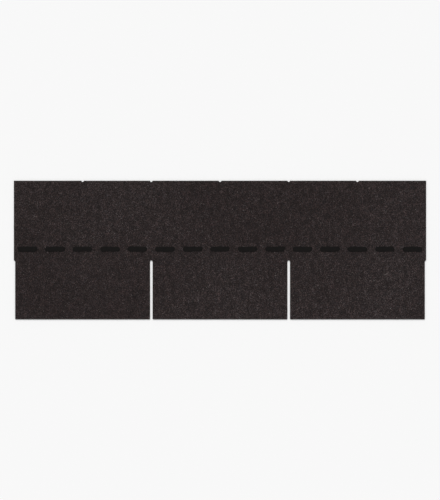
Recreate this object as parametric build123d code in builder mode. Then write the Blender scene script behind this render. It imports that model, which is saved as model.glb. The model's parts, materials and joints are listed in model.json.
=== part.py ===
# A three-tab asphalt roofing shingle, the single unit that a laid roof of this pattern is made of.
#
# One strip of glass mat, coated with asphalt on both sides and faced with mineral granules, is die-cut
# into three tabs. Beads of self-seal asphalt are printed in a row above the slots, and a release film
# is pressed into the back coating while it is hot. All sizes are in millimetres.
#
# The shingle lies flat, granule side up. X runs along the course, +Y runs up the roof slope from the
# butt edge of the tabs to the top edge, and +Z is the weather side. The origin is the middle of the
# back.

from build123d import *

import os

# The strip
strip_length = 1000.0  # along the course, end to end
strip_height = 336.0  # up the slope, from butt edge to top edge
strip_thickness = 3.0  # mat, coatings and granules together

# The tabs, and the slots that part them
tab_count = 3
exposure = 143.0  # what a laid course leaves showing, which is how deep the slots are cut
slot_width = 6.4
tab_corner_radius = 1.5

# The half-round nicks in the top edge, which line up the slots of the courses above
nicks_per_tab = 2
nick_radius = 3.0

# The beads of self-seal asphalt
bead_length = 48.0
bead_width = 13.0
bead_height = 0.8
bead_flank_angle = 35.0  # how far a bead's sides lean in, from the vertical
bead_rim_radius = 0.4
bead_gap = 18.0  # least gap from one bead to the next
bead_row_rise = 27.0  # from the closed ends of the slots up to the middle of the row

# The release film
film_thickness = 0.1
film_lap = 10.5  # how far the film reaches past the beads that lie against it

# Places that follow from the sizes above
tab_pitch = strip_length / tab_count
butt_edge_y = -strip_height / 2
top_edge_y = strip_height / 2
slot_closed_end_y = butt_edge_y + exposure

# As many beads as fit on a tab's width, spread so that no bead lies above a slot or over an end
beads_per_tab = int(tab_pitch // (bead_length + bead_gap))
bead_count = beads_per_tab * tab_count
bead_pitch = tab_pitch / beads_per_tab
bead_row_y = slot_closed_end_y + bead_row_rise

# Every other shingle in a pack is turned end for end, so the film runs along the middle of the back,
# wide enough for the row of beads either way round.
film_width = 2 * abs(bead_row_y) + bead_width + 2 * film_lap

os.makedirs("parts", exist_ok=True)

# The strip: cut out in one stroke of the die, with a half slot at each end that makes a whole slot
# with the next shingle in the course.
with BuildPart() as shingle_strip:
    with BuildSketch() as die_cut:
        Rectangle(strip_length, strip_height)
        with Locations((0, butt_edge_y)):
            with GridLocations(tab_pitch, 0, tab_count + 1, 1):
                SlotOverall(2 * exposure, slot_width, rotation=90, mode=Mode.SUBTRACT)
        tab_corners = die_cut.vertices().group_by(Axis.Y)[0]
        fillet(tab_corners, tab_corner_radius)
        with Locations((0, top_edge_y)):
            with GridLocations(tab_pitch / nicks_per_tab, 0, tab_count * nicks_per_tab - 1, 1):
                Circle(nick_radius, mode=Mode.SUBTRACT)
    extrude(amount=strip_thickness)
    # The back coating is pressed in by the thickness of the film
    with BuildSketch():
        Rectangle(strip_length, film_width)
    extrude(amount=film_thickness, mode=Mode.SUBTRACT)

shingle_strip.part.label = "shingle_strip"
export_step(shingle_strip.part, "parts/shingle_strip.step")

# The seal beads: soft asphalt pads with leaning sides and rounded rims, flattened on top by the pack
with BuildPart() as seal_beads:
    with BuildSketch(Plane.XY.offset(strip_thickness)):
        with Locations((0, bead_row_y)):
            with GridLocations(bead_pitch, 0, bead_count, 1):
                SlotOverall(bead_length, bead_width)
    extrude(amount=bead_height, taper=bead_flank_angle)
    bead_rims = seal_beads.faces().group_by(Axis.Z)[-1].edges()
    fillet(bead_rims, bead_rim_radius)

seal_beads.part.label = "seal_beads"
export_step(seal_beads.part, "parts/seal_beads.step")

# The release film: one long tape, flush with the back of the strip
with BuildPart() as release_film:
    with BuildSketch():
        Rectangle(strip_length, film_width)
    extrude(amount=film_thickness)

release_film.part.label = "release_film"
export_step(release_film.part, "parts/release_film.step")
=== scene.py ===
import json
import math

import bpy
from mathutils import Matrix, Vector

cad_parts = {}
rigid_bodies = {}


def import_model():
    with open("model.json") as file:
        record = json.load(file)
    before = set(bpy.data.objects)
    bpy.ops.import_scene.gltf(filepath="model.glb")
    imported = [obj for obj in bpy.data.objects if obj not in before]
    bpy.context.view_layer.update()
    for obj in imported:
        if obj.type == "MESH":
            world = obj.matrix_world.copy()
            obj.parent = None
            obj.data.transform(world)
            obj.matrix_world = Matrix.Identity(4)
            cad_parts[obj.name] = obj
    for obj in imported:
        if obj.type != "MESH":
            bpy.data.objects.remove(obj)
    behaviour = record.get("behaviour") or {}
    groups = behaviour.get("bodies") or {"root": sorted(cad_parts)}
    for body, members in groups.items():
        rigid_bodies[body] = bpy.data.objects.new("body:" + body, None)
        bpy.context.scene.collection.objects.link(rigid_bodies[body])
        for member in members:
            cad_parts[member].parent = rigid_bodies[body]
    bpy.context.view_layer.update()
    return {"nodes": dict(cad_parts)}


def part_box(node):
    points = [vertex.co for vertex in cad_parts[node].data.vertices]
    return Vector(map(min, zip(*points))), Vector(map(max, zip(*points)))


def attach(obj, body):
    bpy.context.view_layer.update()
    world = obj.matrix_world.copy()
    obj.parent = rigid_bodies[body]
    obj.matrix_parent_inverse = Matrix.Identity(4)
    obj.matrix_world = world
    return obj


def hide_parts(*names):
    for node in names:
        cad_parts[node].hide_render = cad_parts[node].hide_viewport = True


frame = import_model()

# The sheet: a glass-fibre mat soaked in asphalt and coated with it on both sides, the black body of
# the shingle. It comes off the line as an endless web, and one stroke of a die cuts the outline, the
# slots and the nicks. The frame's strip is as thick as sheet and granules, so its top comes down here.
mm = 0.001
strip_low, strip_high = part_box("shingle_strip")
strip_height = strip_high.y - strip_low.y
granule_coat = 0.75 * mm  # what the granules take of the strip's thickness
bed_z = strip_high.z - granule_coat
level = 0.9  # a face counts as level where its normal has more than this along Z
merge_reach = 0.001 * mm


def hold(piece):
    """Selects one piece alone and makes it active."""
    bpy.ops.object.select_all(action="DESELECT")
    piece.select_set(True)
    bpy.context.view_layer.objects.active = piece


def in_scene(name, mesh):
    """A new piece with this mesh, selected alone."""
    piece = bpy.data.objects.new(name, mesh)
    bpy.context.scene.collection.objects.link(piece)
    hold(piece)
    return piece


def pick(piece, kind, test):
    """Leaves edit mode on, with the vertices, edges or faces selected that pass a test."""
    bpy.ops.object.mode_set(mode="EDIT")
    bpy.ops.mesh.select_mode(type=kind)
    bpy.ops.mesh.select_all(action="DESELECT")
    bpy.ops.object.mode_set(mode="OBJECT")
    mesh = piece.data
    for element in {"VERT": mesh.vertices, "EDGE": mesh.edges, "FACE": mesh.polygons}[kind]:
        element.select = test(element)
    bpy.ops.object.mode_set(mode="EDIT")


sheet = in_scene("asphalt_sheet", frame["nodes"]["shingle_strip"].data.copy())
sheet.data.materials.clear()
bpy.ops.object.mode_set(mode="EDIT")
bpy.ops.mesh.select_all(action="SELECT")
bpy.ops.mesh.remove_doubles(threshold=merge_reach)
bpy.ops.mesh.dissolve_limited(angle_limit=math.radians(0.5))
pick(sheet, "FACE", lambda face: face.normal.z > level and face.center.z > bed_z)
bpy.ops.transform.translate(value=(0, 0, -granule_coat))
bpy.ops.object.mode_set(mode="OBJECT")

all_through = 1.0  # a size along Z so long that a pattern is the same all through the shingle


def screen(red, green, blue):
    """The shader colour that shows as these screen values from 0 to 255."""
    return [((value / 255 + 0.055) / 1.055) ** 2.4 for value in (red, green, blue)] + [1]


def surface(name, specular):
    """A new node material, its tree and its main shader."""
    material = bpy.data.materials.new(name)
    material.use_nodes = True
    shader = material.node_tree.nodes["Principled BSDF"]
    shader.inputs["Specular IOR Level"].default_value = specular
    return material, material.node_tree, shader


def fill(tree, socket, value):
    """Links a socket to another node's output, or sets it to a number, colour or name."""
    if isinstance(value, bpy.types.NodeSocket):
        tree.links.new(value, socket)
    else:
        socket.default_value = value


def add(tree, kind, **values):
    """A new node with the sockets of these names filled."""
    node = tree.nodes.new(kind)
    for name, value in values.items():
        fill(tree, node.inputs[name.replace("_", " ")], value)
    return node


def reckon(tree, kind, operation, *values):
    """One maths node, whose sockets are filled in their order."""
    node = tree.nodes.new(kind)
    node.operation = operation
    for socket, value in zip(node.inputs, values):
        fill(tree, socket, value)
    return node.outputs[0]


def grain(tree, size, detail=2.0):
    """A noise on the object's own place, whose spots have about this size along X, Y and Z."""
    place = tree.nodes.new("ShaderNodeTexCoord").outputs["Object"]
    near = reckon(tree, "ShaderNodeVectorMath", "DIVIDE", place, size)
    return add(tree, "ShaderNodeTexNoise", Vector=near, Scale=1.0, Detail=detail).outputs["Fac"]


def spread(tree, value, low, high, first=0.3, last=0.7):
    """A value that runs from first to last, spread from low to high."""
    node = add(tree, "ShaderNodeMapRange", Value=value, From_Min=first, From_Max=last)
    fill(tree, node.inputs["To Min"], low)
    fill(tree, node.inputs["To Max"], high)
    return node.outputs["Result"]


def ramp(tree, factor, stops):
    """A colour ramp through (place, colour) stops."""
    node = add(tree, "ShaderNodeValToRGB", Fac=factor)
    marks = node.color_ramp.elements
    while len(marks) < len(stops):
        marks.new(0.5)
    for mark, (place, colour) in zip(marks, stops):
        mark.position = place
        mark.color = colour
    return node.outputs["Color"]


def roughen(tree, shader, height, distance):
    """Relief too fine for the mesh, from a height."""
    bump = add(tree, "ShaderNodeBump", Height=height, Distance=distance, Strength=1.0)
    fill(tree, shader.inputs["Normal"], bump.outputs["Normal"])


def fines_bed():
    """Asphalt between the granules, where rock dust and small chips have stuck in it."""
    material, tree, shader = surface("fines_bed", 0.05)
    fill(tree, shader.inputs["Roughness"], 0.95)
    chips = ramp(
        tree,
        grain(tree, (0.5 * mm,) * 3, 3.0),
        [(0.42, screen(19, 18, 18)), (0.5, screen(34, 30, 30)), (0.62, screen(62, 53, 51))],
    )
    fill(tree, shader.inputs["Base Color"], chips)
    roughen(tree, shader, grain(tree, (0.4 * mm,) * 3, 3.0), 0.6 * mm)
    return material


def cut_asphalt():
    """Asphalt where the die has sheared it, greyed by its mineral filler, with the broken ends of the
    glass mat half-way up. Its heights are shares of the way from the back to the granules' bed."""
    material, tree, shader = surface("cut_asphalt", 0.06)
    fill(tree, shader.inputs["Roughness"], 0.85)
    place = tree.nodes.new("ShaderNodeTexCoord").outputs["Object"]
    rise = add(tree, "ShaderNodeSeparateXYZ", Vector=place).outputs["Z"]
    height = spread(tree, rise, 0.0, 1.0, 0.0, bed_z)
    fibres = spread(tree, grain(tree, (0.7 * mm, 0.7 * mm, 0.12 * mm)), -0.09, 0.09)
    torn_height = reckon(tree, "ShaderNodeMath", "ADD", height, fibres)
    filled_asphalt = screen(34, 32, 31)
    glass = screen(112, 104, 94)
    colour = ramp(
        tree,
        torn_height,
        [
            (0.0, screen(48, 46, 44)),
            (0.07, filled_asphalt),
            (0.43, filled_asphalt),
            (0.48, glass),
            (0.53, glass),
            (0.58, filled_asphalt),
        ],
    )
    fill(tree, shader.inputs["Base Color"], colour)
    roughen(tree, shader, grain(tree, (0.5 * mm, 0.5 * mm, 2 * mm)), 0.2 * mm)
    return material


def dusted_back():
    """The back coating, dusted with ground mineral so that the shingles don't stick in the pack."""
    material, tree, shader = surface("dusted_back", 0.2)
    fill(tree, shader.inputs["Roughness"], 0.9)
    dust = grain(tree, (0.55 * mm,) * 3, 4.0)
    colour = ramp(
        tree,
        dust,
        [(0.38, screen(44, 43, 42)), (0.5, screen(80, 79, 77)), (0.6, screen(122, 120, 116))],
    )
    streaks = spread(tree, grain(tree, (260 * mm, 12 * mm, all_through), 3.0), 0.75, 1.2)
    swept = add(tree, "ShaderNodeHueSaturation", Value=streaks, Color=colour).outputs["Color"]
    fill(tree, shader.inputs["Base Color"], swept)
    roughen(tree, shader, dust, 0.12 * mm)
    return material


for material in (fines_bed(), cut_asphalt(), dusted_back()):
    sheet.data.materials.append(material)
top_finish, edge_finish, back_finish = range(3)
for face in sheet.data.polygons:
    if face.normal.z > level:
        face.material_index = top_finish
    elif face.normal.z < -level:
        face.material_index = back_finish
    else:
        face.material_index = edge_finish

# The sheet's own map, 1024 mm across: the back, the top above it, and then the cut edges on shelves,
# drawn out in height so that the mat still shows as a line. The low walls of the film's bed stay with
# the back.
map_size = 1024 * mm
map_gap = 4 * mm
shelf_height = 50 * mm
shelf_x = map_gap
shelf_y = 2 * strip_height + 3 * map_gap
sheet_map = sheet.data.uv_layers.new(name="OFBake")
for face in sheet.data.polygons:
    corners = [sheet.data.vertices[v].co for v in face.vertices]
    # A cut edge reaches from the back to the top, so its middle is about half-way up
    if 0.2 < face.center.z / bed_z < 0.8:
        runs = [corner.y * face.normal.x - corner.x * face.normal.y for corner in corners]
        length = max(runs) - min(runs)
        if shelf_x + length > map_size - map_gap:
            shelf_x = map_gap
            shelf_y += shelf_height + map_gap
        across = [shelf_x + run - min(runs) for run in runs]
        up = [shelf_y + corner.z / bed_z * shelf_height for corner in corners]
        shelf_x += length + map_gap
    else:
        side = 1 if face.normal.z > level else -1
        foot = strip_height + 2 * map_gap if side == 1 else map_gap
        across = [side * corner.x - strip_low.x + map_gap for corner in corners]
        up = [corner.y - strip_low.y + foot for corner in corners]
    for loop, u, v in zip(face.loop_indices, across, up):
        sheet_map.data[loop].uv = (u / map_size, v / map_size)

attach(sheet, "root")
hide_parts("shingle_strip")

# The granules: crushed rock, fired with a ceramic colour coat and pressed into the hot asphalt. They
# drop from hoppers of one colour each, and the blend of the hoppers makes the shade of the roof.
granule_radius = 1.25 * mm
granule_height = 0.85 * mm
granule_sunk = 0.25 * mm
granule_knock = 0.28 * mm  # how far a corner may be knocked out of true
granule_merge = 0.01 * mm
granule_spacing = 1.15 * mm
smallest_granule, largest_granule = 0.65, 1.2
granule_tilt = 0.25  # in radians, about 14 degrees
rim_clearance = 1.0 * mm  # from the seats of the outermost granules to the cut edge

# Sides round a granule's foot, and the shares of its width and depth that its top is drawn in to. A form
# that is given again comes out differently, because its corners are knocked another way.
granule_forms = [
    (3, 0.65, 0.65),
    (4, 0.5, 0),
    (4, 0, 0),
    (5, 0, 0),
    (4, 0.8, 0),
    (5, 0, 0),
    (3, 0, 0),
    (4, 0, 0),
]

hopper_colours = {
    "black": screen(38, 33, 34),
    "charcoal": screen(59, 53, 55),
    "brown": screen(52, 43, 42),
    "umber": screen(63, 53, 52),
    "russet": screen(59, 46, 46),
}
bare_rock = screen(114, 110, 108)

granule_shapes = bpy.data.collections.new("granule shapes")
bpy.context.scene.collection.children.link(granule_shapes)


def crushed(sides, width_kept, depth_kept, seed):
    """One granule, sunk a little in the asphalt: a stump whose top is drawn in to a flat, a ridge or a
    point, and whose corners are then knocked out of true."""
    bpy.ops.object.select_all(action="DESELECT")
    bpy.ops.mesh.primitive_cylinder_add(
        vertices=sides,
        radius=granule_radius,
        depth=granule_height,
        calc_uvs=False,
    )
    granule = bpy.context.active_object
    bpy.ops.object.mode_set(mode="EDIT")
    bpy.ops.mesh.select_all(action="SELECT")
    # The sides of a four-sided foot are turned to lie along X and Y
    bpy.ops.transform.rotate(value=math.pi / 4, orient_axis="Z", center_override=(0, 0, 0))
    bpy.ops.transform.translate(value=(0, 0, granule_height / 2 - granule_sunk))
    pick(granule, "FACE", lambda face: face.normal.z > level)
    bpy.ops.transform.resize(value=(width_kept, depth_kept, 1))
    bpy.ops.mesh.select_all(action="SELECT")
    bpy.ops.mesh.remove_doubles(threshold=granule_merge)
    bpy.ops.transform.vertex_random(offset=granule_knock, uniform=0.8, seed=seed)
    bpy.ops.mesh.quads_convert_to_tris()
    bpy.ops.object.mode_set(mode="OBJECT")
    for home in granule.users_collection:
        home.objects.unlink(granule)
    granule_shapes.objects.link(granule)


for seed, (sides, width_kept, depth_kept) in enumerate(granule_forms):
    crushed(sides, width_kept, depth_kept, seed)


def chance(tree, kind, low, high, seed):
    """A random value for each granule, from low to high. The node has a pair of sockets, and one
    output, for each kind of value."""
    first = {"FLOAT_VECTOR": 0, "FLOAT": 2, "INT": 4}[kind]
    node = tree.nodes.new("FunctionNodeRandomValue")
    node.data_type = kind
    node.inputs[first].default_value = low
    node.inputs[first + 1].default_value = high
    node.inputs["Seed"].default_value = seed
    return node.outputs[first // 2]


def kept(tree, geometry, name, value, kind, domain):
    """The geometry with a value kept on it under a name."""
    node = tree.nodes.new("GeometryNodeStoreNamedAttribute")
    node.data_type = kind
    node.domain = domain
    fill(tree, node.inputs["Geometry"], geometry)
    fill(tree, node.inputs["Name"], name)
    fill(tree, node.inputs["Value"], value)
    return node.outputs["Geometry"]


def scattered(tree, bed, colour):
    """The granules of one colour on the bed, each with a tone of its own. Every hopper drops on the same
    seats, and a seat takes the granule of the colour whose number falls to it."""
    seats = tree.nodes.new("GeometryNodeDistributePointsOnFaces")
    seats.distribute_method = "POISSON"
    fill(tree, seats.inputs["Mesh"], bed)
    fill(tree, seats.inputs["Distance Min"], granule_spacing)
    # Many more than there is room for at this spacing, so that the seats left lie close together
    fill(tree, seats.inputs["Density Max"], 4 / granule_spacing**2)
    fill(tree, seats.inputs["Seed"], 7)

    falls_here = tree.nodes.new("FunctionNodeCompare")
    falls_here.data_type = "INT"
    falls_here.operation = "EQUAL"
    first_number, second_number = falls_here.inputs[2:4]
    fill(tree, first_number, chance(tree, "INT", 0, len(hopper_colours) - 1, seed=1))
    fill(tree, second_number, colour)

    shapes = add(tree, "GeometryNodeCollectionInfo", Separate_Children=True, Reset_Children=True)
    shapes.inputs["Collection"].default_value = granule_shapes
    granules = add(
        tree,
        "GeometryNodeInstanceOnPoints",
        Points=seats.outputs["Points"],
        Selection=falls_here.outputs["Result"],
        Instance=shapes.outputs[0],
        Pick_Instance=True,
        Rotation=chance(
            tree,
            "FLOAT_VECTOR",
            (-granule_tilt, -granule_tilt, 0),
            (granule_tilt, granule_tilt, 2 * math.pi),
            seed=2,
        ),
        Scale=chance(tree, "FLOAT", smallest_granule, largest_granule, seed=3),
    ).outputs["Instances"]
    tone = chance(tree, "FLOAT", 0.0, 1.0, seed=4)
    return kept(tree, granules, "tone", tone, "FLOAT", "INSTANCE")


def mapped(tree, granules):
    """The granules as one real mesh, and on the map named OFBake, a square for each.
    The squares stand in rows, in the order of the granules' numbers."""
    count = tree.nodes.new("GeometryNodeAttributeDomainSize")
    count.component = "INSTANCES"
    fill(tree, count.inputs["Geometry"], granules)
    root = reckon(tree, "ShaderNodeMath", "SQRT", count.outputs["Instance Count"])
    squares_across = reckon(tree, "ShaderNodeMath", "CEIL", root)
    number = tree.nodes.new("GeometryNodeInputIndex").outputs["Index"]
    column = reckon(tree, "ShaderNodeMath", "MODULO", number, squares_across)
    rows = reckon(tree, "ShaderNodeMath", "DIVIDE", number, squares_across)
    row = reckon(tree, "ShaderNodeMath", "FLOOR", rows)
    corner = add(tree, "ShaderNodeCombineXYZ", X=column, Y=row).outputs["Vector"]
    middle = reckon(tree, "ShaderNodeVectorMath", "ADD", corner, (0.5, 0.5, 0))

    # Each granule is laid on its square as it is seen from above. The shift from its seat to the middle
    # of the square is kept on it, and then added to the place of each of its points.
    square_filled = 0.9
    reach = largest_granule * (granule_radius + granule_knock)
    place = tree.nodes.new("GeometryNodeInputPosition").outputs["Position"]
    scale = square_filled / 2 / reach
    on_map = reckon(tree, "ShaderNodeVectorMath", "MULTIPLY", place, (scale,) * 3)
    shift = reckon(tree, "ShaderNodeVectorMath", "SUBTRACT", middle, on_map)
    shifted = kept(tree, granules, "shift", shift, "FLOAT_VECTOR", "INSTANCE")
    real = add(tree, "GeometryNodeRealizeInstances", Geometry=shifted).outputs["Geometry"]

    own_shift = add(tree, "GeometryNodeInputNamedAttribute", Name="shift")
    own_shift.data_type = "FLOAT_VECTOR"
    on_square = reckon(tree, "ShaderNodeVectorMath", "ADD", own_shift.outputs["Attribute"], on_map)
    across_map = reckon(tree, "ShaderNodeVectorMath", "DIVIDE", on_square, squares_across)
    laid = kept(tree, real, "OFBake", across_map, "FLOAT2", "CORNER")
    return add(tree, "GeometryNodeRemoveAttribute", Geometry=laid, Name="shift").outputs["Geometry"]


def hopper():
    """One hopper's drop as a group of nodes. It takes the bed and the number of the hopper's colour, and
    gives the granules."""
    tree = bpy.data.node_groups.new("hopper", "GeometryNodeTree")
    tree.interface.new_socket("Bed", in_out="INPUT", socket_type="NodeSocketGeometry")
    tree.interface.new_socket("Colour", in_out="INPUT", socket_type="NodeSocketInt")
    tree.interface.new_socket("Granules", in_out="OUTPUT", socket_type="NodeSocketGeometry")
    start = tree.nodes.new("NodeGroupInput")
    end = tree.nodes.new("NodeGroupOutput")
    granules = scattered(tree, start.outputs["Bed"], start.outputs["Colour"])
    fill(tree, end.inputs["Granules"], mapped(tree, granules))
    return tree


# The bed that they drop on: the sheet's top, drawn in from the cut edges
bed = in_scene("bed", sheet.data.copy())
pick(bed, "FACE", lambda face: face.normal.z < level)
bpy.ops.mesh.delete(type="FACE")
bpy.ops.mesh.select_all(action="SELECT")
bpy.ops.mesh.inset(thickness=rim_clearance)
bpy.ops.mesh.select_all(action="INVERT")
bpy.ops.mesh.delete(type="FACE")
bpy.ops.object.mode_set(mode="OBJECT")


def fired_colour(name, colour):
    """Ceramic colour on rock. Each granule is darker or lighter than the next, and a few are chipped to
    the bare rock. The blend runs greyer and paler along the web, which clouds the shade of the tabs."""
    material, tree, shader = surface(name + "_granules", 0.2)
    tone = tree.nodes.new("ShaderNodeAttribute")
    tone.attribute_name = "tone"
    shades = [(0.0, 0.3), (0.5, 0.82), (0.94, 1.65), (0.985, 2.0)]
    stops = [(place, [share * value for value in colour[:3]] + [1]) for place, share in shades]
    own_colour = ramp(tree, tone.outputs["Fac"], stops + [(1.0, bare_rock)])
    blend = grain(tree, (280 * mm, 360 * mm, all_through))
    flocks = spread(tree, grain(tree, (12 * mm, 18 * mm, all_through), 3.0), 0.6, 1.4)
    blended = add(
        tree,
        "ShaderNodeHueSaturation",
        Saturation=spread(tree, blend, 1.1, 0.85),
        Value=reckon(tree, "ShaderNodeMath", "MULTIPLY", spread(tree, blend, 0.78, 1.22), flocks),
        Color=own_colour,
    ).outputs["Color"]
    fill(tree, shader.inputs["Base Color"], blended)
    fill(tree, shader.inputs["Roughness"], spread(tree, tone.outputs["Fac"], 0.9, 0.65, 0.0, 1.0))
    return material


drop_nodes = hopper()
for number, (name, colour) in enumerate(hopper_colours.items()):
    granules = in_scene(name + "_granules", bed.data.copy())
    drop = granules.modifiers.new("drop", "NODES")
    drop.node_group = drop_nodes
    drop[drop_nodes.interface.items_tree["Colour"].identifier] = number
    bpy.ops.object.modifier_apply(modifier="drop")
    granules.data.materials.clear()
    granules.data.materials.append(fired_colour(name, colour))
    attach(granules, "root")

bpy.data.objects.remove(bed)
for granule in list(granule_shapes.objects):
    bpy.data.objects.remove(granule)
bpy.data.collections.remove(granule_shapes)

# The seal beads: soft black asphalt, printed hot in a broken row above the slots, which the sun's heat
# bonds to the course above. The pack has pressed each one flat on top, and its rim has flowed.
row_low, row_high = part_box("seal_beads")
bead_count = 15
bead_length = 48 * mm
bead_width = row_high.y - row_low.y
bead_pitch = (row_high.x - row_low.x - bead_length) / (bead_count - 1)
bead_foot_z = bed_z + 0.2 * mm  # down between the granules
bead_shoulder_z = row_high.z - 0.35 * mm
straight_half = (bead_length - bead_width) / 2
middle_reach = 0.1 * mm  # what is nearer to a bead's middle stays there while its ends are drawn out

# Steps in from a bead's rim and up to its flat top, and the range its asphalt strays over on each axis
bead_steps = [(0.9 * mm, 0.22 * mm), (1.1 * mm, 0.06 * mm), (1.6 * mm, 0.02 * mm)]
bead_strays = {"X": 3.0 * mm, "Y": 3.0 * mm, "Z": 0.14 * mm}

bpy.ops.object.select_all(action="DESELECT")
bpy.ops.mesh.primitive_cylinder_add(
    vertices=20,
    radius=bead_width / 2,
    depth=bead_shoulder_z - bead_foot_z,
    location=(0, (row_low.y + row_high.y) / 2, (bead_shoulder_z + bead_foot_z) / 2),
    calc_uvs=False,
)
bead = bpy.context.active_object
bpy.ops.object.transform_apply(location=True, rotation=False, scale=False)
for side in (-1, 1):
    pick(bead, "VERT", lambda vertex: side * vertex.co.x > middle_reach)
    bpy.ops.transform.translate(value=(side * straight_half, 0, 0))


def runs_straight(edge):
    """Whether an edge of the bead runs along its straight sides, as only its longest edges do."""
    start, end = [bead.data.vertices[v].co for v in edge.vertices]
    return (start - end).length > straight_half


pick(bead, "EDGE", runs_straight)
bpy.ops.mesh.subdivide(number_cuts=4)
pick(bead, "FACE", lambda face: face.normal.z > level)
for width, rise in bead_steps:
    bpy.ops.mesh.inset(thickness=width)
    bpy.ops.transform.translate(value=(0, 0, rise))
bpy.ops.object.mode_set(mode="OBJECT")

flow = bpy.data.textures.new("asphalt flow", "CLOUDS")
flow.noise_scale = 9 * mm
flow.noise_depth = 2
beads = []
for number in range(bead_count):
    copy = in_scene("bead", bead.data.copy())
    copy.location.x = (number - (bead_count - 1) / 2) * bead_pitch
    bpy.ops.object.transform_apply(location=True, rotation=False, scale=False)
    smooth = copy.modifiers.new("smooth", "SUBSURF")
    smooth.levels = smooth.render_levels = 1
    for axis, stray in bead_strays.items():
        wander = copy.modifiers.new("flow " + axis, "DISPLACE")
        wander.texture = flow
        wander.texture_coords = "GLOBAL"
        wander.direction = axis
        wander.strength = stray
    for modifier in [m.name for m in copy.modifiers]:
        bpy.ops.object.modifier_apply(modifier=modifier)
    beads.append(copy)
bpy.data.objects.remove(bead)

hold(beads[0])
for copy in beads:
    copy.select_set(True)
bpy.ops.object.join()
bead_row = bpy.context.active_object
bead_row.name = "seal_bead_row"
bpy.ops.object.shade_smooth_by_angle(angle=math.radians(50))


def seal_asphalt():
    """Soft asphalt, smoother where it flowed and dull where the film or the dust has touched it."""
    material, tree, shader = surface("seal_asphalt", 0.05)
    dulled = grain(tree, (7 * mm, 4 * mm, 4 * mm), 4.0)
    fill(tree, shader.inputs["Roughness"], spread(tree, dulled, 0.38, 0.85))
    colour = ramp(tree, dulled, [(0.3, screen(13, 12, 12)), (0.7, screen(24, 22, 21))])
    fill(tree, shader.inputs["Base Color"], colour)
    roughen(tree, shader, grain(tree, (1.3 * mm,) * 3, 4.0), 0.6 * mm)
    return material


bead_row.data.materials.clear()
bead_row.data.materials.append(seal_asphalt())
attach(bead_row, "root")
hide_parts("seal_beads")

# The release film: thin milky polyester tape, pressed into the back coating while it is hot. It keeps
# the beads of the next shingle in the pack from sticking, and stays on when the shingle is laid.
film = frame["nodes"]["release_film"]


def milky_film():
    """Milky tape with the asphalt showing through, and the whitened creases of its laying."""
    material, tree, shader = surface("milky_film", 0.5)
    fill(tree, shader.inputs["Roughness"], 0.22)
    cloudy = grain(tree, (60 * mm, 9 * mm, all_through), 3.0)
    colour = ramp(tree, cloudy, [(0.3, screen(142, 144, 143)), (0.7, screen(186, 188, 186))])
    slack = grain(tree, (120 * mm, 7 * mm, all_through), 1.0)
    off_crease = reckon(tree, "ShaderNodeMath", "SUBTRACT", slack, 0.5)
    from_crease = reckon(tree, "ShaderNodeMath", "ABSOLUTE", off_crease)
    creases = spread(tree, from_crease, 1.0, 0.0, 0.0, 0.012)
    whitening = spread(tree, creases, 1.0, 1.35, 0.0, 1.0)
    whitened = add(tree, "ShaderNodeHueSaturation", Value=whitening, Color=colour).outputs["Color"]
    fill(tree, shader.inputs["Base Color"], whitened)
    ripples = grain(tree, (22 * mm, 3 * mm, all_through), 3.0)
    roughen(tree, shader, reckon(tree, "ShaderNodeMath", "ADD", creases, ripples), 0.4 * mm)
    return material


film.data.materials.clear()
film.data.materials.append(milky_film())

# Floor, light and camera: a white studio table seen from straight above, as the courses are seen. The
# light comes from up the slope, so that the butt edge and the slots throw their shadows down it.
floor_drop = 0.1 * mm  # so that the table and the shingle's back aren't in one plane
white = (1, 1, 1, 1)

bpy.ops.object.select_all(action="DESELECT")
bpy.ops.mesh.primitive_plane_add(size=40, location=(0, 0, -floor_drop))
floor = bpy.context.active_object
floor.name = "floor"
material, tree, shader = surface("floor", 0.0)
fill(tree, shader.inputs["Base Color"], (0.95, 0.95, 0.95, 1))
fill(tree, shader.inputs["Roughness"], 1.0)
floor.data.materials.append(material)

world = bpy.data.worlds.new("studio")
bpy.context.scene.world = world
world.use_nodes = True
tree = world.node_tree
lighting = tree.nodes["Background"]
fill(tree, lighting.inputs["Color"], white)
fill(tree, lighting.inputs["Strength"], 0.55)
backdrop = add(tree, "ShaderNodeBackground", Color=white, Strength=0.95)
rays = tree.nodes.new("ShaderNodeLightPath")
seen = rays.outputs["Is Camera Ray"]
for kind in ("Is Glossy Ray", "Is Transmission Ray"):
    seen = reckon(tree, "ShaderNodeMath", "MAXIMUM", seen, rays.outputs[kind])
either = add(tree, "ShaderNodeMixShader", Fac=seen)
fill(tree, either.inputs[1], lighting.outputs["Background"])
fill(tree, either.inputs[2], backdrop.outputs["Background"])
fill(tree, tree.nodes["World Output"].inputs["Surface"], either.outputs["Shader"])

bpy.ops.object.light_add(type="SUN", location=(0, 1, 3))
sun = bpy.context.active_object
sun.data.energy = 1.9
sun.data.angle = math.radians(14)
sun.rotation_euler = (math.radians(-42), math.radians(-12), 0)

lens = 100.0
sensor = 36.0
frame_width, frame_height = 440, 500
shingle_width_px = 412
view_width = (strip_high.x - strip_low.x) * frame_width / shingle_width_px
view_height = view_width * frame_height / frame_width
bpy.ops.object.camera_add(location=(0, 0, view_height * lens / sensor))
camera = bpy.context.active_object
camera.data.lens = lens
camera.data.sensor_width = sensor
bpy.context.scene.camera = camera
bpy.context.scene.view_settings.view_transform = "Standard"
